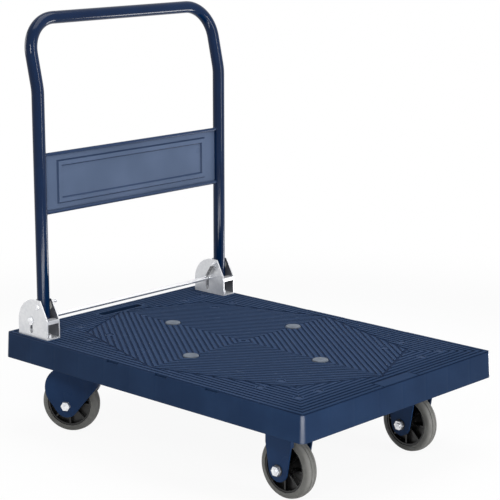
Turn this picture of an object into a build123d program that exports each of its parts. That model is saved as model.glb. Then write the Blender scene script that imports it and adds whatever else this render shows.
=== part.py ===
"""Folding platform cart: moulded deck, folding push handle with foot release, fixed and swivel casters."""

import os
from math import asin, atan, ceil, cos, degrees, hypot, pi, radians, sin

from build123d import *

os.makedirs("parts", exist_ok=True)

# Deck, all sizes in mm, floor at Z = 0, front of the cart at -Y
deck_length = 915.0
deck_width = 634.0
deck_height = 60.0
deck_draft = 3.0  # run-in of the skirt from its foot to the deck top
corner_radius = 12.0
rim_radius = 2.5
rim_land = 0.5  # flat strip between the rounded rim and the first rib
skirt_wall = 4.0
top_wall = 4.5
web_wall = 3.0
web_depth = 18.0
web_count_x = 7
web_count_y = 10
rib_height = 1.5
rib_width = 7.5
rib_pitch = 12.5
field_edge_x = 27.0  # corners of the eight-sided chevron field, from the deck's edges
field_edge_y = 57.5
knee_edge_x = 122.0
knee_edge_y = 145.5
field_gap = 2.5
slot_length = 130.0
slot_width = 22.0
slot_edge = 47.5  # from the deck's rear edge to the middle of the hand slot
slot_well = 24.0
slot_rim = 8.0
patch_length = 115.0
patch_width = 30.0
notch_length = 36.0
notch_depth = 4.0
notch_spacing = 150.0
notch_middle = -55.0
drain_radius = 2.5
drain_edge_x = 14.0
drain_edge_y = 45.0
drain_spacing = 60.0

# Grip pads
pad_radius = 17.5
pad_height = 6.0
pad_seat = 4.0
pad_stem_radius = 5.0
pad_stem = 9.0
pad_edge_x = 149.0  # from the deck's edges to the middle of the pads
pad_edge_y = 229.0
pad_clearance = 0.2

# Casters
caster_height = 180.0  # floor to the top of the caster plate
plate_recess = 5.0  # caster seats lie this far up inside the skirt
caster_edge_x = 114.0  # from the deck's edges to the middle of the plates
front_caster_edge = 137.5
rear_caster_edge = 146.5
plate_length = 128.0
plate_width = 90.0
plate_wall = 4.0
bolt_spacing_x = 63.0
bolt_spacing_y = 104.0
bolt_radius = 4.0
bolt_clearance = 0.3
bolt_head_radius = 8.5
bolt_head_height = 3.0
nut_flat = 13.0
nut_height = 6.5
bolt_stand_out = 2.5
boss_radius = 11.6

# Wheels and forks
wheel_radius = 68.0
tyre_width = 33.0
tyre_shoulder = 9.0
tyre_crown = 1.2
tread_groove = 1.4
tread_groove_place = 4.5
rim_outer = 53.0
rim_wall = 4.5
rim_width = 29.0
hub_radius = 18.0
hub_web = 5.0
spoke_count = 8
spoke_wall = 4.0
spoke_width = 25.0
sleeve_radius = 8.0
axle_radius = 6.0
axle_clearance = 0.1
running_clearance = 0.06
hub_side_gap = 0.8
axle_flat = 19.0
axle_head_height = 8.0
axle_nut_height = 9.5
axle_flange_radius = 12.5
axle_flange_height = 1.8
axle_stand_out = 3.0
fork_gap = 62.0
fork_wall = 3.5
fork_foot_radius = 25.0
fork_head_width = 70.0
fork_shoulder = 123.0  # height at which the fixed fork reaches its full width
fork_lip = 6.0
swivel_trail = 35.0
swivel_angle = 27.5  # photographed turn of the rear casters about the kingpin
swivel_foot_radius = 28.0
swivel_hood_radius = 52.0
swivel_hood_height = 108.0
swivel_nose_height = 111.0
crown_height = 160.0
crown_wall = 4.0
crown_round = 8.0
race_radius = 24.0
race_wall = 10.0
race_lip_radius = 36.0
race_lip_wall = 4.0
race_lip_gap = 1.0
ball_radius = 4.0
ball_count = 8
ball_clearance = 0.3
kingpin_radius = 6.0
kingpin_head_radius = 11.0
kingpin_head_height = 5.0
kingpin_gap = 0.3

# Hinge brackets
bracket_edge_x = 31.0  # from the deck's edges to the bracket's middle and back
bracket_edge_y = 36.0
bracket_width = 37.0
bracket_length = 100.5
bracket_height = 88.0
bracket_wall = 3.0
bracket_step = 44.5  # height of the upright front edge
bracket_slope = 24.0  # length of the slanted edge along the deck
bracket_round = 57.0
strap_height = 9.0
pivot_back = 33.0  # from the bracket's front edge
pivot_height = 71.0
pivot_radius = 5.0
pivot_head_radius = 6.5
pivot_head_height = 3.0
pivot_tail_radius = 6.5
pivot_tail_height = 2.0
pivot_clearance = 0.06
washer_radius = 10.0
washer_gap = 0.3
stop_gap = 0.3
bracket_bolt_inset = 19.0
bracket_bolt_length = 42.0
bracket_head_height = 5.5

# Handle
tube_radius = 14.3
tube_wall = 1.6
leg_below_pivot = 32.0
elbow_height = 787.0  # height at which the legs start to lean back
elbow_radius = 100.0
lean = 12.7
bar_height = 951.5  # middle of the top bar above the floor
handle_corner = 77.0
panel_bottom = 516.0
panel_height = 140.0
panel_back = 1.0  # from the leg axis back to the panel face
panel_wall = 1.5
panel_clearance = 0.05
roll_radius = 4.0  # rolled upper and lower edges
roll_front = 2.0  # from the leg axis forward to the middle of the rolls
ridge_length = 473.0  # pressed frame on the panel face
ridge_spread = 100.0
ridge_width = 15.0
ridge_run = 3.0
ridge_height = 4.0

# Release bar and springs
bar_radius = 5.0
bar_back = 56.8  # from the bracket's front edge
bar_rise = 37.0  # above the deck
bar_travel = 24.0
bar_slot_clearance = 0.25
cap_radius = 10.0
cap_wall = 1.2
cap_notch = 2.5
cup_radius = 6.0
cup_height = 3.5
cap_gap = 0.5
anchor_radius = 2.5
anchor_back = 28.0
anchor_rise = 80.0
anchor_clearance = 0.1
anchor_head_radius = 4.0
anchor_head_height = 1.6
spring_radius = 3.2
spring_wire = 1.3
spring_turns = 14
spring_side_gap = 0.6
spring_seat_gap = 0.2

# Places worked out from the sizes above
skirt_foot = caster_height - plate_recess
deck_top = skirt_foot + deck_height
floor_top = deck_top - rib_height
floor_under = floor_top - top_wall
draft_angle = degrees(atan(deck_draft / deck_height))
top_length = deck_length - 2 * deck_draft
top_width = deck_width - 2 * deck_draft
inner_length = deck_length - 2 * skirt_wall
inner_width = deck_width - 2 * skirt_wall
web_foot = floor_under - web_depth
field_half_x = deck_width / 2 - field_edge_x
field_half_y = deck_length / 2 - field_edge_y
field_knee_x = deck_width / 2 - knee_edge_x
field_knee_y = deck_length / 2 - knee_edge_y
pad_place_x = deck_width / 2 - pad_edge_x
pad_place_y = deck_length / 2 - pad_edge_y
caster_x = deck_width / 2 - caster_edge_x
front_caster_y = front_caster_edge - deck_length / 2
rear_caster_y = deck_length / 2 - rear_caster_edge
slot_y = deck_length / 2 - slot_edge
bracket_x = deck_width / 2 - bracket_edge_x
bracket_back = deck_length / 2 - bracket_edge_y
bracket_front = bracket_back - bracket_length
bracket_middle = bracket_back - bracket_length / 2
pivot_y = bracket_front + pivot_back
pivot_z = deck_top + pivot_height
bar_y = bracket_front + bar_back
bar_z = deck_top + bar_rise
anchor_y = bracket_front + anchor_back
anchor_z = deck_top + anchor_rise
spring_out = pivot_head_height + spring_side_gap + spring_radius + spring_wire / 2
spring_x = bracket_x - bracket_width / 2 - spring_out
bolt_seat = deck_top - bolt_head_height - 1.0
bracket_boss_foot = deck_top - bracket_bolt_length - web_wall
sides = {"left": -1, "right": 1}
ends = {"front": front_caster_y, "rear": rear_caster_y}
caster_places = [(side * caster_x, y) for y in ends.values() for side in sides.values()]
pad_places = {
    "front": (0, -pad_place_y),
    "rear": (0, pad_place_y),
    "left": (-pad_place_x, 0),
    "right": (pad_place_x, 0),
}
bracket_bolt_places = [
    (side * bracket_x, y)
    for side in sides.values()
    for y in (bracket_front + bracket_bolt_inset, bracket_back - bracket_bolt_inset)
]
notch_places = [
    (side * top_width / 2, notch_middle + step * notch_spacing)
    for side in sides.values()
    for step in (-1, 0, 1)
]
drain_places = [
    (side * (deck_width / 2 - drain_edge_x), drain_edge_y + step - deck_length / 2)
    for side in sides.values()
    for step in (0, drain_spacing)
]
pad_floor = deck_top - pad_seat
fork_outer = fork_gap / 2 + fork_wall


def save(builder, name):
    builder.part.label = name
    export_step(builder.part, f"parts/{name}.step")


def across(frame, shift, height):
    # upright plane square to the frame's X, with the frame's Y to its right and Z up
    origin = frame.origin + frame.x_dir * shift + Vector(0, 0, height)
    return Plane(origin=origin, x_dir=frame.y_dir, z_dir=frame.x_dir)


def along(frame, height):
    # upright plane through the frame's X, for profiles turned about an axle
    origin = frame.origin + Vector(0, 0, height)
    return Plane(origin=origin, x_dir=frame.x_dir, z_dir=-frame.y_dir)


def eight_sides(grow):
    # outline of the chevron field, moved out by grow along both axes
    near_x = field_half_x + grow
    near_y = field_half_y + grow
    knee_x = field_knee_x + grow
    knee_y = field_knee_y + grow
    quarter = [(near_x, 0), (knee_x, knee_y), (0, near_y), (-knee_x, knee_y)]
    return quarter + [(-x, -y) for x, y in quarter]


def bolt_corners(place):
    return [
        (place[0] + dx * bolt_spacing_x / 2, place[1] + dy * bolt_spacing_y / 2)
        for dx in (-1, 1)
        for dy in (-1, 1)
    ]


caster_bolt_places = [corner for place in caster_places for corner in bolt_corners(place)]

# Chevron ribs: nested diamonds whose sides run from pad to pad, clipped to the field
pad_reach = hypot(pad_place_x, pad_place_y)
rib_normal_x = pad_place_y / pad_reach
rib_normal_y = pad_place_x / pad_reach
field_reach = field_knee_x * rib_normal_x + field_knee_y * rib_normal_y


def diamond(reach):
    tip_x = reach / rib_normal_x
    tip_y = reach / rib_normal_y
    return [(tip_x, 0), (0, tip_y), (-tip_x, 0), (0, -tip_y)]


with BuildSketch() as chevrons:
    for ring in range(ceil(field_reach / rib_pitch), 0, -1):
        Polygon(*diamond(ring * rib_pitch))
        Polygon(*diamond(ring * rib_pitch - rib_width), mode=Mode.SUBTRACT)
    Polygon(*eight_sides(-field_gap), mode=Mode.INTERSECT)

with BuildPart() as deck:
    with BuildSketch(Plane.XY.offset(skirt_foot)):
        RectangleRounded(deck_width, deck_length, corner_radius)
    extrude(amount=floor_top - skirt_foot, taper=draft_angle)
    fillet(deck.faces().sort_by(Axis.Z)[-1].edges(), rim_radius)
    with BuildSketch(Plane.XY.offset(skirt_foot)):
        RectangleRounded(inner_width, inner_length, corner_radius - skirt_wall)
    extrude(amount=floor_under - skirt_foot, taper=draft_angle, mode=Mode.SUBTRACT)
    # underside webs
    with BuildSketch(Plane.XY.offset(web_foot)):
        with GridLocations(inner_width / (web_count_x + 1), 0, web_count_x, 1):
            Rectangle(web_wall, inner_length)
        with GridLocations(0, inner_length / (web_count_y + 1), 1, web_count_y):
            Rectangle(inner_width, web_wall)
    extrude(amount=floor_under - web_foot)
    # caster towers: walls under the plate's outline, a cross web and the bolt bosses
    with BuildSketch(Plane.XY.offset(caster_height)):
        with Locations(*caster_places):
            RectangleRounded(plate_width, plate_length, 2 * plate_wall)
            RectangleRounded(
                plate_width - 2 * web_wall, plate_length - 2 * web_wall, plate_wall, mode=Mode.SUBTRACT
            )
        with Locations(*caster_places):
            Rectangle(web_wall, plate_length - web_wall)
            Rectangle(plate_width - web_wall, web_wall)
        with Locations(*caster_bolt_places):
            Circle(boss_radius)
    extrude(amount=floor_under - caster_height)
    # bosses for the bracket bolts
    with BuildSketch(Plane.XY.offset(bracket_boss_foot)):
        with Locations(*bracket_bolt_places):
            Circle(boss_radius)
    extrude(amount=floor_under - bracket_boss_foot)
    # well around the hand slot
    with BuildSketch(Plane.XY.offset(floor_under - slot_well)):
        with Locations((0, slot_y)):
            RectangleRounded(slot_length + 2 * web_wall, slot_width + 2 * web_wall, slot_width / 2)
    extrude(amount=slot_well)
    # hand slot, bolt holes, pad seats, edge notches and drain holes
    with BuildSketch(Plane.XY.offset(skirt_foot)):
        with Locations((0, slot_y)):
            RectangleRounded(slot_length, slot_width, slot_width / 3)
    extrude(amount=deck_height, mode=Mode.SUBTRACT)
    with Locations(*[(x, y, floor_top) for x, y in caster_bolt_places]):
        CounterBoreHole(bolt_radius + bolt_clearance, bolt_head_radius + bolt_clearance, floor_top - bolt_seat)
    with Locations(*[(x, y, floor_top) for x, y in bracket_bolt_places]):
        Hole(bolt_radius + bolt_clearance, depth=bracket_bolt_length)
    with Locations(*[(x, y, floor_top) for x, y in pad_places.values()]):
        Hole(pad_radius + pad_clearance, depth=floor_top - pad_floor)
        Hole(pad_stem_radius + pad_clearance, depth=floor_top - pad_floor + pad_stem)
    with BuildSketch(Plane.XY.offset(floor_top)):
        with Locations(*notch_places):
            Rectangle(2 * notch_depth, notch_length)
    extrude(amount=-notch_depth, mode=Mode.SUBTRACT)
    with BuildSketch(Plane.XY.offset(floor_top)):
        with Locations(*drain_places):
            Circle(drain_radius)
    extrude(amount=-2 * top_wall, mode=Mode.SUBTRACT)
    # border ribs, chevrons and the smooth raised places, with the same holes left open
    with BuildSketch(Plane.XY.offset(floor_top)):
        for ring in range(ceil((deck_width / 2 - field_knee_x) / rib_pitch) + 2):
            inset = 2 * (rim_radius + rim_land + ring * rib_pitch)
            Rectangle(top_width - inset, top_length - inset)
            inset = inset + 2 * rib_width
            Rectangle(top_width - inset, top_length - inset, mode=Mode.SUBTRACT)
        Polygon(*eight_sides(field_gap), mode=Mode.SUBTRACT)
        add(chevrons.sketch)
        with Locations(*pad_places.values()):
            Circle(pad_radius + field_gap, mode=Mode.SUBTRACT)
        with Locations(*caster_bolt_places):
            Circle(boss_radius)
            Circle(bolt_head_radius + bolt_clearance, mode=Mode.SUBTRACT)
        with Locations((0, slot_y)):
            Rectangle(slot_length + 2 * slot_rim, slot_width + 2 * slot_rim)
            RectangleRounded(slot_length, slot_width, slot_width / 3, mode=Mode.SUBTRACT)
        with Locations((0, patch_width / 2 + rim_radius + rim_land - top_length / 2)):
            Rectangle(patch_length + 2 * field_gap, patch_width + 2 * field_gap, mode=Mode.SUBTRACT)
            Rectangle(patch_length, patch_width)
        with Locations(*[(side * bracket_x, bracket_middle) for side in sides.values()]):
            Rectangle(bracket_width + 2 * field_gap, bracket_length + 2 * field_gap)
        with Locations(*bracket_bolt_places):
            Circle(bolt_radius + bolt_clearance, mode=Mode.SUBTRACT)
        with Locations(*notch_places):
            Rectangle(2 * notch_depth, notch_length, mode=Mode.SUBTRACT)
        with Locations(*drain_places):
            Circle(drain_radius, mode=Mode.SUBTRACT)
    extrude(amount=rib_height)
save(deck, "deck")

# Rubber grip pads with a domed face and a push-in stem
for name, place in pad_places.items():
    with BuildPart() as pad:
        with BuildSketch(Plane.XY.offset(pad_floor)):
            with Locations(place):
                Circle(pad_radius)
        extrude(amount=pad_height)
        fillet(pad.faces().sort_by(Axis.Z)[-1].edges(), pad_height / 3)
        with BuildSketch(Plane.XY.offset(pad_floor)):
            with Locations(place):
                Circle(pad_stem_radius)
        extrude(amount=-pad_stem)
    save(pad, f"grip_pad_{name}")

# Frames of the four casters: origin on the floor under the kingpin or the fixed fork
deck_frames = {}
for end, y in ends.items():
    for side, sign in sides.items():
        deck_frames[f"{end}_{side}"] = Plane(origin=(sign * caster_x, y, 0))
fork_frames = dict(deck_frames)
wheel_frames = dict(deck_frames)
turned_x = Vector(cos(radians(swivel_angle)), sin(radians(swivel_angle)), 0)
for side in sides:
    corner = f"rear_{side}"
    turned = Plane(origin=deck_frames[corner].origin, x_dir=turned_x, z_dir=(0, 0, 1))
    fork_frames[corner] = turned
    wheel_frames[corner] = Plane(
        origin=turned.origin + turned.y_dir * swivel_trail, x_dir=turned_x, z_dir=(0, 0, 1)
    )
plate_under = caster_height - plate_wall


def caster_plate(frame):
    # bolted top plate, drawn into the open part block
    with BuildSketch(frame.offset(plate_under)) as outline:
        RectangleRounded(plate_width, plate_length, 2 * plate_wall)
        with GridLocations(bolt_spacing_x, bolt_spacing_y, 2, 2):
            Circle(bolt_radius + bolt_clearance, mode=Mode.SUBTRACT)
    extrude(outline.sketch, amount=plate_wall)


def axle_holes(frame):
    with BuildSketch(across(frame, -fork_gap, wheel_radius)) as bore:
        Circle(axle_radius + axle_clearance)
    extrude(bore.sketch, amount=2 * fork_gap, mode=Mode.SUBTRACT)


# Fixed forks: top plate with two tapered cheeks and turned-in lips along their upper edges
for side in sides:
    frame = fork_frames[f"front_{side}"]
    with BuildPart() as fixed_fork:
        caster_plate(frame)
        for sign in (-1, 1):
            with BuildSketch(across(frame, sign * fork_gap / 2, 0)):
                with Locations((0, wheel_radius)):
                    Circle(fork_foot_radius)
                with Locations((0, fork_shoulder)):
                    Rectangle(fork_head_width, plate_under - fork_shoulder, align=(Align.CENTER, Align.MIN))
                make_hull()
            extrude(amount=sign * fork_wall)
            with BuildSketch(across(frame, sign * fork_gap / 2, fork_shoulder)):
                with GridLocations(fork_head_width - fork_wall, 0, 2, 1):
                    Rectangle(fork_wall, plate_under - fork_shoulder, align=(Align.CENTER, Align.MIN))
            extrude(amount=-sign * fork_lip)
        axle_holes(frame)
    save(fixed_fork, f"fixed_fork_{side}")

# Swivel heads: plate with a ball race, kingpin, balls and the pressed fork
race_under = plate_under - race_wall
ball_height = (race_under + crown_height) / 2
for side, sign in sides.items():
    frame = deck_frames[f"rear_{side}"]
    turned = fork_frames[f"rear_{side}"]
    axis = Axis(frame.origin, (0, 0, 1))
    with BuildPart() as swivel_plate:
        caster_plate(frame)
        with BuildSketch(frame.offset(race_under)):
            Circle(race_lip_radius)
        extrude(amount=race_wall)
        with BuildSketch(frame.offset(crown_height + race_lip_gap)):
            Circle(race_lip_radius)
            Circle(race_lip_radius - race_lip_wall, mode=Mode.SUBTRACT)
        extrude(amount=race_under - crown_height)
        with BuildSketch(along(frame, ball_height)):
            with Locations((race_radius, 0)):
                Circle(ball_radius + ball_clearance)
        revolve(axis=axis, mode=Mode.SUBTRACT)
        with Locations(Location(frame.origin + Vector(0, 0, caster_height))):
            CounterSinkHole(
                kingpin_radius + axle_clearance,
                kingpin_head_radius + axle_clearance,
                counter_sink_angle=90,
            )
    save(swivel_plate, f"swivel_plate_{side}")

    with BuildPart() as kingpin:
        with BuildSketch(frame.offset(caster_height)):
            Circle(kingpin_head_radius)
        extrude(amount=kingpin_radius - kingpin_head_radius, taper=45)
        with BuildSketch(frame.offset(caster_height)):
            Circle(kingpin_radius)
        extrude(amount=crown_height - crown_wall - kingpin_gap - kingpin_head_height - caster_height)
        with BuildSketch(frame.offset(crown_height - crown_wall - kingpin_gap)):
            Circle(kingpin_head_radius)
        extrude(amount=-kingpin_head_height)
    save(kingpin, f"kingpin_{side}")

    with BuildPart() as balls:
        with Locations(Location(frame.origin + Vector(0, 0, ball_height))):
            with PolarLocations(race_radius, ball_count):
                Sphere(ball_radius)
    save(balls, f"swivel_balls_{side}")

    with BuildPart() as swivel_fork:
        with BuildSketch(turned):
            Circle(fork_outer)
            Rectangle(2 * fork_outer, 3 * swivel_hood_radius, align=(Align.CENTER, Align.MIN))
        extrude(amount=crown_height)
        fillet(swivel_fork.faces().sort_by(Axis.Z)[-1].edges(), crown_round)
        with BuildSketch(turned):
            Circle(fork_gap / 2)
            Rectangle(fork_gap, 3 * swivel_hood_radius, align=(Align.CENTER, Align.MIN))
        extrude(amount=crown_height - crown_wall, mode=Mode.SUBTRACT)
        with BuildSketch(across(turned, -fork_gap, 0)):
            with Locations((swivel_trail, wheel_radius)):
                Circle(swivel_foot_radius)
            with Locations((swivel_trail, swivel_hood_height)):
                Circle(swivel_hood_radius)
            with Locations((-fork_outer, swivel_nose_height)):
                Rectangle(
                    fork_outer + swivel_trail,
                    crown_height - swivel_nose_height,
                    align=(Align.MIN, Align.MIN),
                )
            make_hull()
        extrude(amount=2 * fork_gap, mode=Mode.INTERSECT)
        with BuildSketch(along(turned, ball_height)):
            with Locations((race_radius, 0)):
                Circle(ball_radius + ball_clearance)
        revolve(axis=axis, mode=Mode.SUBTRACT)
        with Locations(Location(frame.origin + Vector(0, 0, crown_height))):
            Hole(kingpin_radius + running_clearance, depth=2 * crown_wall)
        axle_holes(wheel_frames[f"rear_{side}"])
    save(swivel_fork, f"swivel_fork_{side}")

# Wheels with their axles
hub_half = fork_gap / 2 - hub_side_gap
for corner, frame in wheel_frames.items():
    axle = Axis(frame.origin + Vector(0, 0, wheel_radius), frame.x_dir)
    profile_plane = along(frame, wheel_radius)
    with BuildPart() as tyre:
        with BuildSketch(profile_plane):
            with BuildLine():
                side_foot = (tyre_width / 2, rim_outer)
                side_top = (tyre_width / 2, wheel_radius - tyre_crown - tyre_shoulder)
                tread_end = (tyre_width / 2 - tyre_shoulder, wheel_radius - tyre_crown)
                Line((0, rim_outer), side_foot)
                Line(side_foot, side_top)
                TangentArc(side_top, tread_end, tangent=(0, 1))
                ThreePointArc(tread_end, (0, wheel_radius), (-tread_end[0], tread_end[1]))
                TangentArc((-tread_end[0], tread_end[1]), (-side_top[0], side_top[1]), tangent=(-1, 0))
                Line((-side_top[0], side_top[1]), (-side_foot[0], side_foot[1]))
                Line((-side_foot[0], side_foot[1]), (0, rim_outer))
            make_face()
            with Locations((0, wheel_radius)):
                with GridLocations(2 * tread_groove_place, 0, 2, 1):
                    Rectangle(tread_groove, 2 * tread_groove, mode=Mode.SUBTRACT)
        revolve(axis=axle)
    save(tyre, f"tyre_{corner}")

    with BuildPart() as hub:
        with BuildSketch(profile_plane):
            bore = sleeve_radius + running_clearance
            with Locations((0, bore)):
                Rectangle(2 * hub_half, hub_radius - bore, align=(Align.CENTER, Align.MIN))
                Rectangle(hub_web, rim_outer - bore, align=(Align.CENTER, Align.MIN))
            with Locations((0, rim_outer)):
                Rectangle(rim_width, rim_wall, align=(Align.CENTER, Align.MAX))
        revolve(axis=axle)
        with BuildSketch(across(frame, -spoke_width / 2, wheel_radius)):
            with PolarLocations((hub_radius + rim_outer - rim_wall) / 2, spoke_count):
                Rectangle(rim_outer - hub_radius, spoke_wall)
        extrude(amount=spoke_width)
    save(hub, f"hub_{corner}")

    with BuildPart() as sleeve:
        with BuildSketch(across(frame, -fork_gap / 2, wheel_radius)):
            Circle(sleeve_radius)
            Circle(axle_radius + axle_clearance, mode=Mode.SUBTRACT)
        extrude(amount=fork_gap)
    save(sleeve, f"axle_sleeve_{corner}")

    # bolt heads on the left of the swivel casters and on the right of the fixed ones
    turn = 1 if corner.startswith("rear") else -1
    with BuildPart() as axle_bolt:
        with BuildSketch(across(frame, -turn * fork_outer, wheel_radius)):
            RegularPolygon(axle_flat / 2, 6, major_radius=False)
        extrude(amount=-turn * axle_head_height)
        with BuildSketch(across(frame, -turn * fork_outer, wheel_radius)):
            Circle(axle_radius)
        extrude(amount=turn * (2 * fork_outer + axle_nut_height + axle_stand_out))
    save(axle_bolt, f"axle_bolt_{corner}")

    with BuildPart() as axle_nut:
        with BuildSketch(across(frame, turn * fork_outer, wheel_radius)):
            Circle(axle_flange_radius)
            Circle(axle_radius + axle_clearance, mode=Mode.SUBTRACT)
        extrude(amount=turn * axle_flange_height)
        with BuildSketch(across(frame, turn * fork_outer, wheel_radius)):
            RegularPolygon(axle_flat / 2, 6, major_radius=False)
            Circle(axle_radius + axle_clearance, mode=Mode.SUBTRACT)
        extrude(amount=turn * axle_nut_height)
    save(axle_nut, f"axle_nut_{corner}")

# Caster bolts through the deck, with nuts under the plates
for corner, frame in deck_frames.items():
    with BuildPart() as caster_bolts:
        with BuildSketch(frame.offset(bolt_seat)):
            with GridLocations(bolt_spacing_x, bolt_spacing_y, 2, 2):
                Circle(bolt_head_radius)
        extrude(amount=bolt_head_height, taper=20)
        with BuildSketch(frame.offset(bolt_seat)):
            with GridLocations(bolt_spacing_x, bolt_spacing_y, 2, 2):
                Circle(bolt_radius)
        extrude(amount=plate_under - nut_height - bolt_stand_out - bolt_seat)
    save(caster_bolts, f"caster_bolts_{corner}")

with BuildPart() as caster_nuts:
    with BuildSketch(Plane.XY.offset(plate_under)):
        with Locations(*caster_bolt_places):
            RegularPolygon(nut_flat / 2, 6, major_radius=False)
            Circle(bolt_radius + axle_clearance, mode=Mode.SUBTRACT)
    extrude(amount=-nut_height)
save(caster_nuts, "caster_nuts")

# Hinge brackets: base, two cheeks and the front strap that stops the handle
cheek_gap = bracket_width - 2 * bracket_wall
strap_end = pivot_y - tube_radius - stop_gap
for side, sign in sides.items():
    frame = Plane(origin=(sign * bracket_x, 0, 0))
    with BuildPart() as bracket:
        for cheek in (-1, 1):
            with BuildSketch(across(frame, cheek * cheek_gap / 2, deck_top)):
                with BuildLine():
                    shoulder = (bracket_front + bracket_slope, bracket_height)
                    crest = (bracket_back - bracket_round, bracket_height)
                    heel = (bracket_back, bracket_height - bracket_round)
                    Polyline((bracket_back, 0), (bracket_front, 0), (bracket_front, bracket_step), shoulder, crest)
                    TangentArc(crest, heel, tangent=(1, 0))
                    Line(heel, (bracket_back, 0))
                make_face()
                with Locations((pivot_y, pivot_height)):
                    Circle(pivot_radius + pivot_clearance, mode=Mode.SUBTRACT)
                with Locations((bar_y, bar_rise - bar_travel / 2)):
                    SlotCenterToCenter(
                        bar_travel, 2 * (bar_radius + bar_slot_clearance), rotation=90, mode=Mode.SUBTRACT
                    )
                if cheek == -sign:
                    with Locations((anchor_y, anchor_rise)):
                        Circle(anchor_radius + anchor_clearance, mode=Mode.SUBTRACT)
            extrude(amount=cheek * bracket_wall)
        with BuildSketch(across(frame, -cheek_gap / 2, deck_top)):
            with Locations((bracket_front, 0)):
                Rectangle(bracket_length, bracket_wall, align=(Align.MIN, Align.MIN))
            with Locations((bracket_front, bracket_step)):
                Rectangle(bracket_wall, strap_height, align=(Align.MIN, Align.MAX))
                Rectangle(strap_end - bracket_front, bracket_wall, align=(Align.MIN, Align.MAX))
        extrude(amount=cheek_gap)
        with Locations(*[(sign * bracket_x, y, deck_top + bracket_wall) for x, y in bracket_bolt_places]):
            Hole(bolt_radius + bolt_clearance, depth=2 * bracket_wall)
    save(bracket, f"hinge_bracket_{side}")

    # pivot pin: head on the inner cheek, riveted over on the outer one
    inner_face = across(frame, -sign * bracket_width / 2, 0)
    outer_face = across(frame, sign * bracket_width / 2, 0)
    with BuildPart() as pivot_pin:
        with BuildSketch(inner_face):
            with Locations((pivot_y, pivot_z)):
                Circle(pivot_head_radius)
        extrude(amount=-sign * pivot_head_height)
        with BuildSketch(inner_face):
            with Locations((pivot_y, pivot_z)):
                Circle(pivot_radius)
        extrude(amount=sign * bracket_width)
        with BuildSketch(outer_face):
            with Locations((pivot_y, pivot_z)):
                Circle(pivot_tail_radius)
        extrude(amount=sign * pivot_tail_height, taper=30)
    save(pivot_pin, f"pivot_pin_{side}")

    washer_wall = cheek_gap / 2 - tube_radius - 2 * washer_gap
    with BuildPart() as washers:
        for cheek in (-1, 1):
            with BuildSketch(across(frame, cheek * (cheek_gap / 2 - washer_gap), 0)):
                with Locations((pivot_y, pivot_z)):
                    Circle(washer_radius)
                    Circle(pivot_radius + pivot_clearance, mode=Mode.SUBTRACT)
            extrude(amount=-cheek * washer_wall)
    save(washers, f"pivot_washers_{side}")

    # stub pin set in the inner cheek, with a head that keeps the spring on
    pin_reach = bracket_wall + spring_out + spring_radius + spring_wire / 2
    with BuildPart() as anchor:
        with BuildSketch(across(frame, -sign * cheek_gap / 2, 0)):
            with Locations((anchor_y, anchor_z)):
                Circle(anchor_radius)
        extrude(amount=-sign * pin_reach)
        with BuildSketch(across(frame, -sign * (cheek_gap / 2 + pin_reach), 0)):
            with Locations((anchor_y, anchor_z)):
                Circle(anchor_head_radius)
        extrude(amount=-sign * anchor_head_height)
    save(anchor, f"spring_anchor_{side}")

with BuildPart() as bracket_bolts:
    with BuildSketch(Plane.XY.offset(deck_top + bracket_wall)):
        with Locations(*bracket_bolt_places):
            RegularPolygon(nut_flat / 2, 6, major_radius=False)
    extrude(amount=bracket_head_height)
    with BuildSketch(Plane.XY.offset(deck_top + bracket_wall)):
        with Locations(*bracket_bolt_places):
            Circle(bolt_radius)
    extrude(amount=-bracket_bolt_length)
save(bracket_bolts, "bracket_bolts")

# Handle: legs, backward elbows, leaning shoulders and the rounded top corners
lean_dir = Vector(0, sin(radians(lean)), cos(radians(lean)))
leg_foot = Vector(-bracket_x, pivot_y, pivot_z - leg_below_pivot)
elbow_low = Vector(-bracket_x, pivot_y, elbow_height)
elbow_high = elbow_low + Vector(
    0, elbow_radius * (1 - cos(radians(lean))), elbow_radius * sin(radians(lean))
)
bar_end = elbow_high + lean_dir * ((bar_height - elbow_high.Z) / lean_dir.Z)
corner_low = bar_end - lean_dir * handle_corner
corner_high = bar_end + Vector(handle_corner, 0, 0)
with BuildPart() as handle_tube:
    with BuildLine() as handle_path:
        Line(leg_foot, elbow_low)
        TangentArc(elbow_low, elbow_high, tangent=(0, 0, 1))
        Line(elbow_high, corner_low)
        TangentArc(corner_low, corner_high, tangent=lean_dir)
        Line(corner_high, Vector(0, corner_high.Y, corner_high.Z))
        mirror(about=Plane.YZ)
    with BuildSketch(Plane(origin=leg_foot, z_dir=(0, 0, 1))):
        Circle(tube_radius)
        Circle(tube_radius - tube_wall, mode=Mode.SUBTRACT)
    sweep(path=handle_path.wires()[0])
    with BuildSketch(Plane.YZ.offset(-deck_width / 2)):
        with Locations((pivot_y, pivot_z)):
            Circle(pivot_radius + pivot_clearance)
    extrude(amount=deck_width, mode=Mode.SUBTRACT)
save(handle_tube, "handle_tube")

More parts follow.
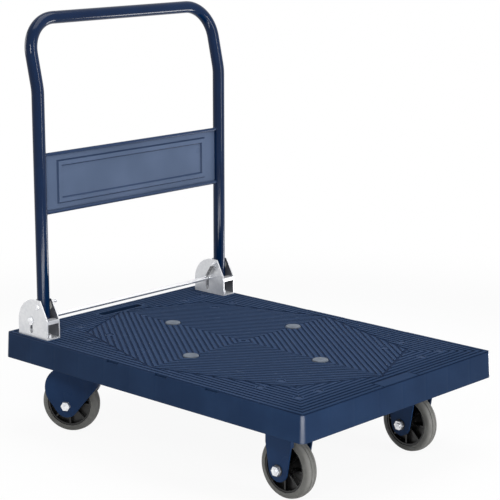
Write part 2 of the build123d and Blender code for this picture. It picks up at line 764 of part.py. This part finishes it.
# Handle panel: sheet with rolled edges and a pressed frame, coped to the legs
panel_face = pivot_y + panel_back
panel_middle = panel_bottom + panel_height / 2
press_plane = Plane(origin=(0, panel_face, panel_middle), x_dir=(1, 0, 0), z_dir=(0, -1, 0))
with BuildPart() as ridge:
    for inset, run, mode in ((0, ridge_run, Mode.ADD), (ridge_width, -ridge_run, Mode.SUBTRACT)):
        with BuildSketch(press_plane):
            Rectangle(ridge_length - 2 * inset, ridge_spread - 2 * inset)
        with BuildSketch(press_plane.offset(ridge_height)):
            Rectangle(ridge_length - 2 * inset - 2 * run, ridge_spread - 2 * inset - 2 * run)
        loft(mode=mode)
with BuildPart() as handle_panel:
    with BuildSketch(Plane.YZ.offset(-bracket_x)):
        with Locations((panel_face, panel_middle)):
            Rectangle(panel_wall, panel_height - 2 * roll_radius, align=(Align.MIN, Align.CENTER))
        with Locations((pivot_y - roll_front, panel_middle)):
            with GridLocations(0, panel_height - 2 * roll_radius, 1, 2):
                Circle(roll_radius)
                Circle(roll_radius - panel_wall, mode=Mode.SUBTRACT)
    extrude(amount=2 * bracket_x)
    add(ridge.part)
    add(ridge.part.moved(Location((0, panel_wall, 0))), mode=Mode.SUBTRACT)
    for sign in sides.values():
        with BuildSketch(Plane(origin=(sign * bracket_x, pivot_y, panel_bottom))):
            Circle(tube_radius + panel_clearance)
            with Locations((sign * tube_radius, 0)):
                Rectangle(2 * tube_radius, 2 * tube_radius)
        extrude(amount=panel_height, mode=Mode.SUBTRACT)
save(handle_panel, "handle_panel")

# Release bar with its notched push-on washers
bar_half = bracket_x + bracket_width / 2 + cap_gap
bar_frame = Plane(origin=(0, bar_y, bar_z), x_dir=(0, 1, 0), z_dir=(1, 0, 0))
with BuildPart() as release_bar:
    with BuildSketch(bar_frame.offset(-bar_half)):
        Circle(bar_radius)
    extrude(amount=2 * bar_half)
save(release_bar, "release_bar")
for side, sign in sides.items():
    with BuildPart() as bar_cap:
        with BuildSketch(bar_frame.offset(sign * bar_half)):
            Circle(cap_radius)
            with PolarLocations(cap_radius, 4, start_angle=45):
                Circle(cap_notch, mode=Mode.SUBTRACT)
        extrude(amount=sign * cap_wall)
        with BuildSketch(bar_frame.offset(sign * bar_half)):
            Circle(cup_radius)
        extrude(amount=sign * cup_height, taper=15)
    save(bar_cap, f"bar_cap_{side}")


def biarc(start, start_dir, end, end_dir):
    # two arcs that leave start and reach end along the given directions
    chord = end - start
    both = start_dir + end_dir
    a = 2 * (1 - start_dir.dot(end_dir))
    b = 2 * chord.dot(both)
    c = chord.dot(chord)
    reach = c / b if a < 1e-9 else (-b + (b * b + 4 * a * c) ** 0.5) / (2 * a)
    middle = (start + start_dir * reach + end - end_dir * reach) * 0.5
    TangentArc(start, middle, tangent=start_dir)
    TangentArc(middle, end, tangent=end - end_dir * reach - middle)


def least_gap(wire, thickness):
    # clear distance between stretches of the wire that lie over half a turn apart
    count = 60 * spring_turns
    points = [wire.position_at(i / count) for i in range(count + 1)]
    skip = ceil(count * pi * spring_radius / wire.length)
    spans = [(points[i] - p).length for j, p in enumerate(points) for i in range(j + skip, count + 1)]
    return min(spans) - thickness


# Return springs between the bar and the anchor pins
for side, sign in sides.items():
    bar_point = Vector(sign * spring_x, bar_y, bar_z)
    pull = Vector(sign * spring_x, anchor_y, anchor_z) - bar_point
    axis_dir = pull.normalized()
    cross_x = Vector(1, 0, 0)
    cross_y = axis_dir.cross(cross_x)
    low = bar_point + axis_dir * (bar_radius + spring_seat_gap)
    high = bar_point + pull - axis_dir * (anchor_radius + spring_seat_gap)
    lead_in = spring_wire + spring_radius
    coil_low = low + axis_dir * lead_in
    pitch = ((high - low).length - 2 * lead_in) / spring_turns
    slope = asin(pitch / hypot(pitch, 2 * pi * spring_radius))

    def on_coil(turn):
        angle = 2 * pi * turn
        out = cross_x * cos(angle) + cross_y * sin(angle)
        forward = cross_y * cos(angle) - cross_x * sin(angle)
        place = coil_low + axis_dir * (pitch * turn) + out * spring_radius
        return place, forward * cos(slope) + axis_dir * sin(slope)

    with BuildPart() as spring:
        with BuildLine() as spring_path:
            Line(low, low + axis_dir * spring_wire)
            biarc(low + axis_dir * spring_wire, axis_dir, *on_coil(0))
            for half in range(2 * spring_turns):
                biarc(*on_coil(half / 2), *on_coil((half + 1) / 2))
            biarc(*on_coil(spring_turns), high - axis_dir * spring_wire, axis_dir)
            Line(high - axis_dir * spring_wire, high)
        with BuildSketch(Plane(origin=low, z_dir=axis_dir)):
            Circle(spring_wire / 2)
        sweep(path=spring_path.wires()[0])
    save(spring, f"return_spring_{side}")
    print(f"return_spring_{side}: least gap {least_gap(spring_path.wires()[0], spring_wire):.2f} mm")
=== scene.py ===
import math
import bpy
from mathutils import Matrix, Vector


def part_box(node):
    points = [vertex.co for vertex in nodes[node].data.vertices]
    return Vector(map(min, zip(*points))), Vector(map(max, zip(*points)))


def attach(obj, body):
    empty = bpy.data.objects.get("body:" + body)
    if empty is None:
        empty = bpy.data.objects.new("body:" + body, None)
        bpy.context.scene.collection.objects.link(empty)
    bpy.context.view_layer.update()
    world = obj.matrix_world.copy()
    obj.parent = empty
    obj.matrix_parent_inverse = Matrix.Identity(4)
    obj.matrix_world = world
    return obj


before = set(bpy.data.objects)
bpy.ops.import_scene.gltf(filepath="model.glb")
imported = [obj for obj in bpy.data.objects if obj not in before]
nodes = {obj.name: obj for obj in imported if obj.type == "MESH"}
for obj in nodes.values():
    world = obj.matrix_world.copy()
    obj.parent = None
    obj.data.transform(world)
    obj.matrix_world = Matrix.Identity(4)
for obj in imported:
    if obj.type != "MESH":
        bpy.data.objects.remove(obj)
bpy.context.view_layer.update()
print("frame loaded:", len(nodes), "nodes")


def srgb(red, green, blue):
    # screen values 0..255 to a linear colour
    def level(value):
        value = value / 255
        return value / 12.92 if value <= 0.04045 else ((value + 0.055) / 1.055) ** 2.4
    return (level(red), level(green), level(blue), 1.0)


class Wire:
    # a node socket that takes part in Python sums
    def __init__(self, tree, socket=None):
        self.tree = tree
        self.socket = socket

    def node(self, kind, settings=None, sockets=None, out=0):
        made = self.tree.nodes.new(kind)
        for name, value in (settings or {}).items():
            setattr(made, name, value)
        for name, value in (sockets or {}).items():
            if isinstance(value, Wire):
                self.tree.links.new(value.socket, made.inputs[name])
            else:
                made.inputs[name].default_value = value
        return Wire(self.tree, made.outputs[out] if len(made.outputs) else None)

    def maths(self, operation, first, second=0.0, third=0.0):
        return self.node("ShaderNodeMath", {"operation": operation}, {0: first, 1: second, 2: third})

    def __add__(self, other):
        return self.maths("ADD", self, other)

    def __radd__(self, other):
        return self.maths("ADD", other, self)

    def __sub__(self, other):
        return self.maths("SUBTRACT", self, other)

    def __rsub__(self, other):
        return self.maths("SUBTRACT", other, self)

    def __mul__(self, other):
        return self.maths("MULTIPLY", self, other)

    def __rmul__(self, other):
        return self.maths("MULTIPLY", other, self)

    def __abs__(self):
        return self.maths("ABSOLUTE", self)

    def ramp(self, low, high):
        # 0 below low, 1 above high, smooth between
        return self.node(
            "ShaderNodeMapRange", {"interpolation_type": "SMOOTHSTEP"},
            {"Value": self, "From Min": low, "From Max": high},
        )

    def mix(self, first, second):
        # colour first where this is 0, second where it is 1
        return self.node("ShaderNodeMix", {"data_type": "RGBA"}, {0: self, 6: first, 7: second}, 2)

    def noise(self, scale, detail=2.0, rough=0.5):
        return self.node(
            "ShaderNodeTexNoise", None,
            {"Vector": self, "Scale": scale, "Detail": detail, "Roughness": rough},
        )

    def parts(self):
        split = self.tree.nodes.new("ShaderNodeSeparateXYZ")
        self.tree.links.new(self.socket, split.inputs[0])
        return [Wire(self.tree, split.outputs[axis]) for axis in range(3)]


def newFinish(name):
    # an empty material, a Wire of its tree and the Object coordinates
    finish = bpy.data.materials.new(name)
    finish.use_nodes = True
    finish.node_tree.nodes.clear()
    wire = Wire(finish.node_tree)
    return finish, wire, wire.node("ShaderNodeTexCoord", None, None, "Object")


def facing(wire):
    # the x, y and z of the direction that the surface faces
    return wire.node("ShaderNodeTexCoord", None, None, "Normal").parts()


def bumped(wire, height, look):
    # bump over edges rounded by the radius edge
    rounded = wire.node("ShaderNodeBevel", {"samples": 4}, {"Radius": look["edge"]})
    return wire.node(
        "ShaderNodeBump", None,
        {"Height": height, "Strength": look["bump"], "Distance": look["depth"], "Normal": rounded},
    )


def close(wire, plain, **links):
    # the shader at the end of the tree; plain holds fixed values, links the sockets that vary
    sockets = dict(plain)
    sockets.update({name.replace("_", " "): value for name, value in links.items()})
    shader = wire.node("ShaderNodeBsdfPrincipled", None, sockets)
    wire.node("ShaderNodeOutputMaterial", None, {"Surface": shader})


def each(kinds, ends):
    # node names, such as hub_rear_left
    return [kind + "_" + end for kind in kinds for end in ends]


def dress(finish, *names):
    for name in names:
        mesh = nodes[name].data
        mesh.materials.clear()
        mesh.materials.append(finish)


corners = ["front_left", "front_right", "rear_left", "rear_right"]
sides = ["left", "right"]

deckLook = {
    "base": srgb(29, 48, 76), "cloudy": srgb(25, 43, 70), "ribTop": srgb(45, 62, 90),
    "groove": srgb(25, 40, 66), "dirt": srgb(10, 24, 46), "scuff": srgb(82, 98, 125),
    # the front ranges and the darkest groove colour paint shade on the front border
    "top": 0.235, "ribHeight": 0.0015, "dirtyRibs": (-0.44, -0.33), "dirtyGrooves": (-0.42, -0.36),
    "webX": 0.626 / 8, "webY": 0.907 / 11, "webWidth": 0.006, "sinkDepth": 1.4,
    "mottle": 14.0, "cloud": 90.0, "grain": 1100.0, "ripple": 60.0,
    "spec": 0.045, "sideRough": 0.24, "topRough": 0.42,
    "corner": (0.08, 0.50), "cornerHeights": (0.15, 0.225), "cornerRough": 0.32,
    "bump": 0.35, "depth": 0.0004, "edge": 0.0016,
}


def deckPlastic():
    look = deckLook
    top, rib = look["top"], look["ribHeight"]
    finish, wire, place = newFinish("deckPlastic")
    x, y, z = place.parts()
    nx, ny, nz = facing(wire)
    up = nz.ramp(0.5, 0.9)
    side = 1.0 - up
    raised = z.ramp(top - rib * 0.8, top - rib * 0.2)
    nearTop = z.ramp(top - rib * 3, top - rib * 1.5)
    mottle = place.noise(look["mottle"], 3.0)
    cloud = place.noise(look["cloud"], 4.0, 0.65)
    # grooves are darker, partly dirt and partly painted shade in the recess; rib tops are rubbed pale
    body = mottle.ramp(0.3, 0.7).mix(look["base"], look["cloudy"])
    scuffed = cloud.ramp(0.52, 0.74) * mottle.ramp(0.4, 0.65) * raised * up * 0.55
    worn = scuffed.mix(look["ribTop"], look["scuff"])
    # painted shade: the rib tops and the grooves are darker towards the front border
    worn = (y.ramp(*look["dirtyRibs"]) * 0.75 + 0.25).mix(look["base"], worn)
    groove = y.ramp(*look["dirtyGrooves"]).mix(look["dirt"], look["groove"])
    ribbed = raised.mix(groove, worn)
    colour = (up * nearTop).mix(body, ribbed)
    # sink marks where the webs meet the skirt
    stepX = wire.maths("PINGPONG", x, look["webX"] / 2)
    stepY = wire.maths("PINGPONG", y + look["webY"] / 2, look["webY"] / 2)
    sink = stepX.ramp(0.0, look["webWidth"]) * abs(ny) + stepY.ramp(0.0, look["webWidth"]) * abs(nx)
    grain = place.noise(look["grain"], 2.0)
    ripple = place.noise(look["ripple"], 2.0)
    height = grain * 0.35 + sink * side * look["sinkDepth"] + ripple * 0.5
    rough = look["sideRough"] + up * look["topRough"] + mottle * 0.10 + cloud * 0.08
    # corners knocked and rubbed shiny, most of all at the top
    shiny = z.ramp(*look["cornerHeights"]) * 0.4 + 0.6
    rubbed = (abs(nx) * abs(ny)).ramp(*look["corner"]) * side * shiny
    close(wire, {"Specular IOR Level": look["spec"], "Coat Roughness": look["cornerRough"]},
          Base_Color=colour, Roughness=rough, Coat_Weight=rubbed, Normal=bumped(wire, height, look))
    return finish


padLook = {
    "base": srgb(101, 109, 120), "dark": srgb(78, 85, 96), "speck": 700.0, "smear": 60.0,
    "spec": 0.3, "rough": 0.55, "bump": 0.5, "depth": 0.0003, "edge": 0.0005,
}


def padRubber():
    look = padLook
    finish, wire, place = newFinish("padRubber")
    speck = place.noise(look["speck"], 3.0, 0.7)
    smear = place.noise(look["smear"], 3.0)
    colour = (smear.ramp(0.35, 0.7) * 0.6 + speck.ramp(0.5, 0.75) * 0.4).mix(look["base"], look["dark"])
    close(wire, {"Specular IOR Level": look["spec"]}, Base_Color=colour,
          Roughness=look["rough"] + smear * 0.2, Normal=bumped(wire, speck, look))
    return finish


tubeLook = {
    "base": srgb(5, 31, 63), "deep": srgb(3, 25, 55), "chip": srgb(120, 128, 140),
    "spec": 0.16, "rough": 0.06, "bump": 0.16, "depth": 0.0003, "edge": 0.0005,
}
forkLook = {
    "base": srgb(32, 56, 91), "deep": srgb(26, 48, 81), "chip": srgb(110, 118, 132),
    "spec": 0.08, "rough": 0.24, "bump": 0.16, "depth": 0.0003, "edge": 0.0009,
}
panelLitLook = {
    # lit and shaded copies of one paint: base and deep hold a painted reflection, shade holds painted shade
    "base": srgb(78, 92, 117), "deep": srgb(71, 85, 109), "chip": srgb(120, 130, 150),
    "shade": srgb(34, 50, 78), "middle": 0.586, "flat": 0.0615, "roll": 0.0655,
    "spec": 0.12, "rough": 0.26, "bump": 0.16, "depth": 0.0003, "edge": 0.0012,
}
paintLook = {"drift": 9.0, "peel": 380.0, "nick": 210.0, "nicked": (0.745, 0.77)}


def navyPaint(name, look):
    finish, wire, place = newFinish(name)
    drift = place.noise(paintLook["drift"], 2.0)
    peel = place.noise(paintLook["peel"], 2.0)
    nick = place.noise(paintLook["nick"], 4.0, 0.75).ramp(*paintLook["nicked"])
    colour = drift.ramp(0.3, 0.7).mix(look["base"], look["deep"])
    if "shade" in look:
        # painted light: the flat sheet is painted lighter as the reflection it catches, and the rolled edges
        # and the flanks of the pressing are painted darker as shade
        z = place.parts()[2]
        ny = facing(wire)[1]
        turned = 1.0 - abs(ny).ramp(0.80, 0.985)
        rolled = abs(z - look["middle"]).ramp(look["flat"], look["roll"])
        colour = wire.maths("MAXIMUM", turned * 0.75, rolled).mix(colour, look["shade"])
    colour = nick.mix(colour, look["chip"])
    close(wire, {"Specular IOR Level": look["spec"]}, Base_Color=colour,
          Roughness=look["rough"] + drift * 0.06 + nick * 0.3, Normal=bumped(wire, peel, look))
    return finish


zincLook = {
    "base": srgb(222, 223, 225), "grey": srgb(202, 204, 208), "stain": srgb(120, 118, 114),
    # dull is painted shade, for the faces between the cheeks
    "dull": srgb(118, 120, 126), "middle": 0.286, "flakes": 160.0, "haze": 45.0, "spots": 190.0,
    "metal": 0.6, "rough": 0.34, "bump": 0.12, "depth": 0.0003, "edge": 0.0007,
}


def galvanised():
    look = zincLook
    finish, wire, place = newFinish("galvanised")
    cells = {"Vector": place, "Scale": look["flakes"]}
    flakes = wire.node("ShaderNodeTexVoronoi", {"feature": "F1"}, cells, "Color").parts()[0]
    haze = place.noise(look["haze"], 4.0, 0.6)
    spots = place.noise(look["spots"], 4.0, 0.7).ramp(0.66, 0.78)
    colour = (flakes * 0.35 + haze.ramp(0.4, 0.75) * 0.5).mix(look["base"], look["grey"])
    colour = (spots * 0.6).mix(colour, look["stain"])
    # painted shade on the faces turned to the tube between the cheeks
    x = place.parts()[0]
    nx = facing(wire)[0]
    outward = (abs(x) - look["middle"]) * nx * wire.maths("SIGN", x)
    colour = outward.ramp(-0.015, -0.005).mix(look["dull"], colour)
    close(wire, {}, Base_Color=colour, Metallic=look["metal"] - spots * 0.3,
          Roughness=look["rough"] + flakes * 0.14 + spots * 0.2,
          Normal=bumped(wire, haze + flakes * 0.3, look))
    return finish


boltLook = {
    "base": srgb(244, 245, 247), "dull": srgb(204, 206, 211), "bright": srgb(236, 237, 240),
    "flange": srgb(24, 28, 38), "washer": 0.0364, "haze": 130.0, "lines": 900.0,
    "metal": 0.7, "barMetal": 0.85, "rough": 0.22, "bump": 0.08, "depth": 0.0002, "edge": 0.0006,
}


def zincBolt(name, metal, dull):
    look = boltLook
    finish, wire, place = newFinish(name)
    haze = place.noise(look["haze"], 3.0)
    lines = place.noise(look["lines"], 2.0)
    colour = haze.ramp(0.35, 0.75).mix(look["base"], dull)
    close(wire, {"Metallic": metal}, Base_Color=colour,
          Roughness=look["rough"] + haze * 0.16 + lines * 0.08, Normal=bumped(wire, lines, look))
    return finish


headLook = {
    "paint": srgb(36, 52, 80), "pale": srgb(58, 74, 102), "painted": (0.219, 0.221), "haze": 150.0,
    "spec": 0.06, "rough": 0.26, "bump": 0.1, "depth": 0.0002, "edge": 0.0006,
}


def headPaint():
    # caster bolts: heads painted like the deck, ends bare zinc under the plates
    look = headLook
    finish, wire, place = newFinish("headPaint")
    painted = place.parts()[2].ramp(*look["painted"])
    haze = place.noise(look["haze"], 3.0)
    zinc = haze.mix(boltLook["base"], boltLook["dull"])
    colour = painted.mix(zinc, haze.mix(look["paint"], look["pale"]))
    close(wire, {"Specular IOR Level": look["spec"]}, Base_Color=colour, Metallic=1.0 - painted,
          Roughness=look["rough"] + haze * 0.15 + painted * 0.3, Normal=bumped(wire, haze, look))
    return finish


def wheelPlaces(wire, place, centre, axle):
    # distance along the axle and out from it, for patterns that follow the wheel
    local = wire.node("ShaderNodeVectorMath", {"operation": "SUBTRACT"}, {0: place, 1: centre})
    along = wire.node("ShaderNodeVectorMath", {"operation": "DOT_PRODUCT"}, {0: local, 1: axle}, "Value")
    span = wire.node("ShaderNodeVectorMath", {"operation": "LENGTH"}, {0: local}, "Value")
    out = wire.maths("SQRT", wire.maths("MAXIMUM", span * span - along * along, 0.0))
    return along, out


tyreLook = {
    "base": srgb(115, 115, 112), "dust": srgb(152, 151, 148), "dark": srgb(93, 93, 90),
    "radius": 0.068, "shoulder": 0.006, "crown": 0.0015, "seam": (0.0003, 0.0009), "ringStep": 0.0022,
    "fleck": 420.0, "smear": 42.0,
    "spec": 0.22, "rough": 0.46, "bump": 0.35, "depth": 0.0003, "edge": 0.0006,
}


def tyreRubber(corner, centre, axle):
    look = tyreLook
    finish, wire, place = newFinish("tyreRubber_" + corner)
    along, out = wheelPlaces(wire, place, centre, axle)
    tread = out.ramp(look["radius"] - look["shoulder"], look["radius"] - look["crown"])
    seam = 1.0 - abs(along).ramp(*look["seam"])
    ring = wire.maths("SINE", out * (2 * math.pi / look["ringStep"])) * (1.0 - tread)
    fleck = place.noise(look["fleck"], 3.0, 0.7)
    smear = place.noise(look["smear"], 3.0, 0.6)
    colour = (smear.ramp(0.35, 0.7) * 0.6 + fleck.ramp(0.55, 0.75) * 0.4).mix(look["base"], look["dark"])
    colour = (tread * smear.ramp(0.3, 0.65) * 0.5).mix(colour, look["dust"])
    height = fleck * 0.4 + seam * tread * 1.2 + ring * 0.12 + smear * 0.3
    close(wire, {"Specular IOR Level": look["spec"]}, Base_Color=colour,
          Roughness=look["rough"] + smear * 0.16 + tread * 0.06, Normal=bumped(wire, height, look))
    return finish


hubLook = {
    "base": srgb(9, 9, 10), "dust": srgb(44, 43, 41), "pocket": (0.003, 0.011), "film": 85.0, "grain": 1000.0,
    "spec": 0.45, "rough": 0.14, "bump": 0.18, "depth": 0.0003, "edge": 0.0006,
}


def hubPlastic(corner, centre, axle):
    look = hubLook
    finish, wire, place = newFinish("hubPlastic_" + corner)
    along = wheelPlaces(wire, place, centre, axle)[0]
    pocket = 1.0 - abs(along).ramp(*look["pocket"])
    film = place.noise(look["film"], 4.0, 0.65)
    grain = place.noise(look["grain"], 2.0)
    colour = (pocket * film.ramp(0.45, 0.8) * 0.45).mix(look["base"], look["dust"])
    close(wire, {"Specular IOR Level": look["spec"]}, Base_Color=colour,
          Roughness=look["rough"] + film * 0.16 + pocket * 0.10,
          Normal=bumped(wire, grain + film * 0.4, look))
    return finish


def flangedNut(corner, centre, axle):
    # zinc nut on a dark flange washer
    look = boltLook
    finish, wire, place = newFinish("flangedNut_" + corner)
    along = wheelPlaces(wire, place, centre, axle)[0]
    face = abs(along).ramp(look["washer"] - 0.0001, look["washer"])
    haze = place.noise(look["haze"], 3.0)
    zinc = haze.ramp(0.35, 0.75).mix(look["base"], look["dull"])
    close(wire, {}, Base_Color=face.mix(look["flange"], zinc), Metallic=face * look["metal"],
          Roughness=look["rough"] + haze * 0.14, Normal=bumped(wire, haze, look))
    return finish


springLook = {
    "base": srgb(112, 113, 116), "dark": srgb(60, 60, 62), "hookGlint": srgb(240, 241, 243), "hookHeight": 0.309,
    "oil": 240.0, "metal": 0.8, "rough": 0.25, "bump": 0.1, "depth": 0.0001, "edge": 0.0002,
}


def springSteel():
    look = springLook
    finish, wire, place = newFinish("springSteel")
    oil = place.noise(look["oil"], 3.0)
    # upper hooks painted bright: a painted glint, and rubbed on their pins
    hookGlint = place.parts()[2].ramp(look["hookHeight"] - 0.001, look["hookHeight"])
    coil = oil.ramp(0.35, 0.7).mix(look["base"], look["dark"])
    close(wire, {}, Base_Color=hookGlint.mix(coil, look["hookGlint"]), Metallic=look["metal"] - hookGlint * 0.6,
          Roughness=look["rough"] + oil * 0.2, Normal=bumped(wire, oil, look))
    return finish


nylonLook = {
    "base": srgb(206, 205, 196), "worn": srgb(160, 158, 149), "rub": 170.0, "grain": 900.0,
    "spec": 0.4, "rough": 0.38, "bump": 0.2, "depth": 0.0002, "edge": 0.0005,
}


def naturalNylon():
    look = nylonLook
    finish, wire, place = newFinish("naturalNylon")
    rub = place.noise(look["rub"], 3.0)
    colour = (rub.ramp(0.5, 0.8) * 0.5).mix(look["base"], look["worn"])
    close(wire, {"Specular IOR Level": look["spec"]}, Base_Color=colour,
          Roughness=look["rough"] + rub * 0.2, Normal=bumped(wire, place.noise(look["grain"]), look))
    return finish


dress(deckPlastic(), "deck")
dress(padRubber(), *each(["grip_pad"], ["front", "rear", "left", "right"]))
tubePaint = navyPaint("tubePaint", tubeLook)
dress(tubePaint, "handle_tube")
dress(navyPaint("panelPaintLit", panelLitLook), "handle_panel")
dress(navyPaint("forkPaint", forkLook), *each(["fixed_fork", "swivel_fork", "swivel_plate"], sides))
dress(galvanised(), *each(["hinge_bracket"], sides))
bolted = ["caster_nuts", "bracket_bolts"] + each(["axle_bolt", "axle_sleeve"], corners)
bolted += each(["bar_cap", "pivot_pin", "spring_anchor", "kingpin", "swivel_balls"], sides)
dress(zincBolt("zincBolt", boltLook["metal"], boltLook["dull"]), *bolted)
dress(zincBolt("brightBar", boltLook["barMetal"], boltLook["bright"]), "release_bar")
dress(headPaint(), *each(["caster_bolts"], corners))
dress(springSteel(), *each(["return_spring"], sides))
dress(naturalNylon(), *each(["pivot_washers"], sides))

wheelLook = {"rearTurn": 27.5}  # degrees that the swivel casters stand turned at rest
for corner in corners:
    low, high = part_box("tyre_" + corner)
    turned = math.radians(wheelLook["rearTurn"]) if corner.startswith("rear") else 0.0
    axle = (math.cos(turned), math.sin(turned), 0.0)
    centre = tuple((low + high) / 2)
    dress(tyreRubber(corner, centre, axle), "tyre_" + corner)
    dress(hubPlastic(corner, centre, axle), "hub_" + corner)
    dress(flangedNut(corner, centre, axle), "axle_nut_" + corner)
print("finishes on")

weldLook = {
    "roll": 0.0043, "rollY": 0.352, "legX": 0.286, "legY": 0.354, "legRadius": 0.0141,
    "heights": {"low": 0.520, "high": 0.652}, "start": 70, "sweep": 25,
    "lump": 0.0019, "lumps": 9, "swell": 0.16, "swellStep": 2.1, "segments": 14, "rings": 8,
    "voxel": 0.0005, "softenings": 3,
}


def weldLump(swell):
    look = weldLook
    bpy.ops.mesh.primitive_uv_sphere_add(
        segments=look["segments"], ring_count=look["rings"], radius=look["lump"] * swell)


def panelWeld(side, end):
    # lumps along the line where a rolled panel edge meets the leg, melted into one bead
    look = weldLook
    sign = -1 if side == "left" else 1
    bpy.ops.object.select_all(action="DESELECT")
    weldLump(1.0)
    weld = bpy.context.object
    weld.name = "panelWeld_" + side + "_" + end
    bpy.ops.object.mode_set(mode="EDIT")
    for lump in range(look["lumps"]):
        if lump:
            weldLump(1.0 + look["swell"] * math.sin(look["swellStep"] * lump + sign))
        angle = math.radians(look["start"] + look["sweep"] * lump)
        y = look["rollY"] + look["roll"] * math.cos(angle)
        z = look["heights"][end] + look["roll"] * math.sin(angle)
        x = look["legX"] - math.sqrt(look["legRadius"] ** 2 - (y - look["legY"]) ** 2)
        bpy.ops.transform.translate(value=(sign * x, y, z))
    bpy.ops.mesh.select_all(action="SELECT")
    bpy.ops.mesh.normals_make_consistent(inside=False)
    bpy.ops.object.mode_set(mode="OBJECT")
    melt = weld.modifiers.new("melt", "REMESH")
    melt.mode = "VOXEL"
    melt.voxel_size = look["voxel"]
    bpy.ops.object.modifier_apply(modifier="melt")
    soften = weld.modifiers.new("soften", "SMOOTH")
    soften.iterations = look["softenings"]
    bpy.ops.object.modifier_apply(modifier="soften")
    bpy.ops.object.shade_smooth()
    weld.data.materials.append(tubePaint)
    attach(weld, "handle")


for side in sides:
    for end in weldLook["heights"]:
        panelWeld(side, end)
print("welds on")


def shownRays(wire):
    # 1 where the background is looked at, straight or through metal and glass
    camera, glossy, through = [
        wire.node("ShaderNodeLightPath", None, None, "Is " + ray + " Ray")
        for ray in ("Camera", "Glossy", "Transmission")
    ]
    return wire.maths("MAXIMUM", wire.maths("MAXIMUM", camera, glossy), through)


# plain stage: pale floor that fades to the white backdrop
white = (1.0, 1.0, 1.0, 1.0)
floorLook = {
    "size": 30.0, "drop": 0.0005, "colour": (0.86, 0.86, 0.86, 1.0), "dark": (0.03, 0.03, 0.035, 1.0),
    "sheet": (1.0, 1.7), "lift": 0.93, "fade": (0.9, 2.2),
}
bpy.ops.object.select_all(action="DESELECT")
bpy.ops.mesh.primitive_plane_add(size=floorLook["size"], location=(0, 0, -floorLook["drop"]))
floor = bpy.context.object
floor.name = "floor"
finish, wire, place = newFinish("floorCard")
away = wire.node("ShaderNodeVectorMath", {"operation": "LENGTH"}, {0: place}, "Value")
# the light that it throws back is that of a white sheet under the cart in a dark studio
sheet = away.ramp(*floorLook["sheet"]).mix(floorLook["colour"], floorLook["dark"])
card = wire.node("ShaderNodeBsdfDiffuse", None, {"Color": sheet})
glow = wire.node("ShaderNodeEmission", None, {"Color": white, "Strength": 1.0})
lift = shownRays(wire) * (floorLook["lift"] + away.ramp(*floorLook["fade"]) * (1.0 - floorLook["lift"]))
shade = wire.node("ShaderNodeMixShader", None, {0: lift, 1: card, 2: glow})
# clear from below, so that the underside can be looked at
below = wire.node("ShaderNodeNewGeometry", None, None, "Backfacing")
clear = wire.node("ShaderNodeBsdfTransparent")
shade = wire.node("ShaderNodeMixShader", None, {0: below, 1: shade, 2: clear})
wire.node("ShaderNodeOutputMaterial", None, {"Surface": shade})
floor.data.materials.append(finish)

worldLook = {"fill": 0.22}
world = bpy.data.worlds.new("studio")
bpy.context.scene.world = world
world.use_nodes = True
world.node_tree.nodes.clear()
wire = Wire(world.node_tree)
level = worldLook["fill"] + shownRays(wire) * (1.0 - worldLook["fill"])
sky = wire.node("ShaderNodeBackground", None, {"Color": white, "Strength": level})
wire.node("ShaderNodeOutputWorld", None, {"Surface": sky})

# the two panels lie on the floor, out of the picture: glints for the top bar and the near deck corner
lampLook = {
    "keyBox": {"place": (0.9, -3.0, 1.2), "target": (0.1, 0.1, 0.6), "size": (0.5, 2.4), "power": 56},
    "eyeBox": {"place": (-2.75, -1.8, 2.35), "target": (-0.2, 0.3, 0.9), "size": (0.36, 0.9), "power": 44},
    "sidePanel": {"place": (1.45, -0.25, 0.02), "target": (1.45, -0.22, 1.0), "size": (1.1, 0.4), "power": 22},
    "nearPanel": {
        "place": (-0.95, -1.15, 0.03), "target": (-0.913, -1.116, 1.0), "size": (1.8, 0.5), "power": 40,
    },
    "rearBox": {"place": (-1.3, 3.0, 1.3), "target": (0, 0.3, 0.5), "size": (1.6, 1.2), "power": 32},
    "topBox": {"place": (0.2, -0.2, 3.2), "target": (0, 0, 0), "size": (2.2, 2.2), "power": 60},
}
for name, look in lampLook.items():
    lamp = bpy.data.lights.new(name, "AREA")
    lamp.shape = "RECTANGLE"
    lamp.size, lamp.size_y = look["size"]
    lamp.energy = look["power"]
    holder = bpy.data.objects.new(name, lamp)
    bpy.context.scene.collection.objects.link(holder)
    holder.location = look["place"]
    aim = Vector(look["target"]) - Vector(look["place"])
    holder.rotation_euler = aim.to_track_quat("-Z", "Y").to_euler()
print("stage and lamps set")

cameraLook = {
    "place": (-2.6711, -2.5201, 1.2581), "turn": (77.51, 0.0, -46.89), "lens": 121.363, "sensor": 36.0,
}
eye = bpy.data.cameras.new("camera")
eye.lens = cameraLook["lens"]
eye.sensor_width = cameraLook["sensor"]
eye.sensor_fit = "HORIZONTAL"
camera = bpy.data.objects.new("camera", eye)
bpy.context.scene.collection.objects.link(camera)
camera.location = cameraLook["place"]
camera.rotation_euler = [math.radians(angle) for angle in cameraLook["turn"]]
bpy.context.scene.camera = camera
bpy.context.scene.view_settings.view_transform = "Standard"
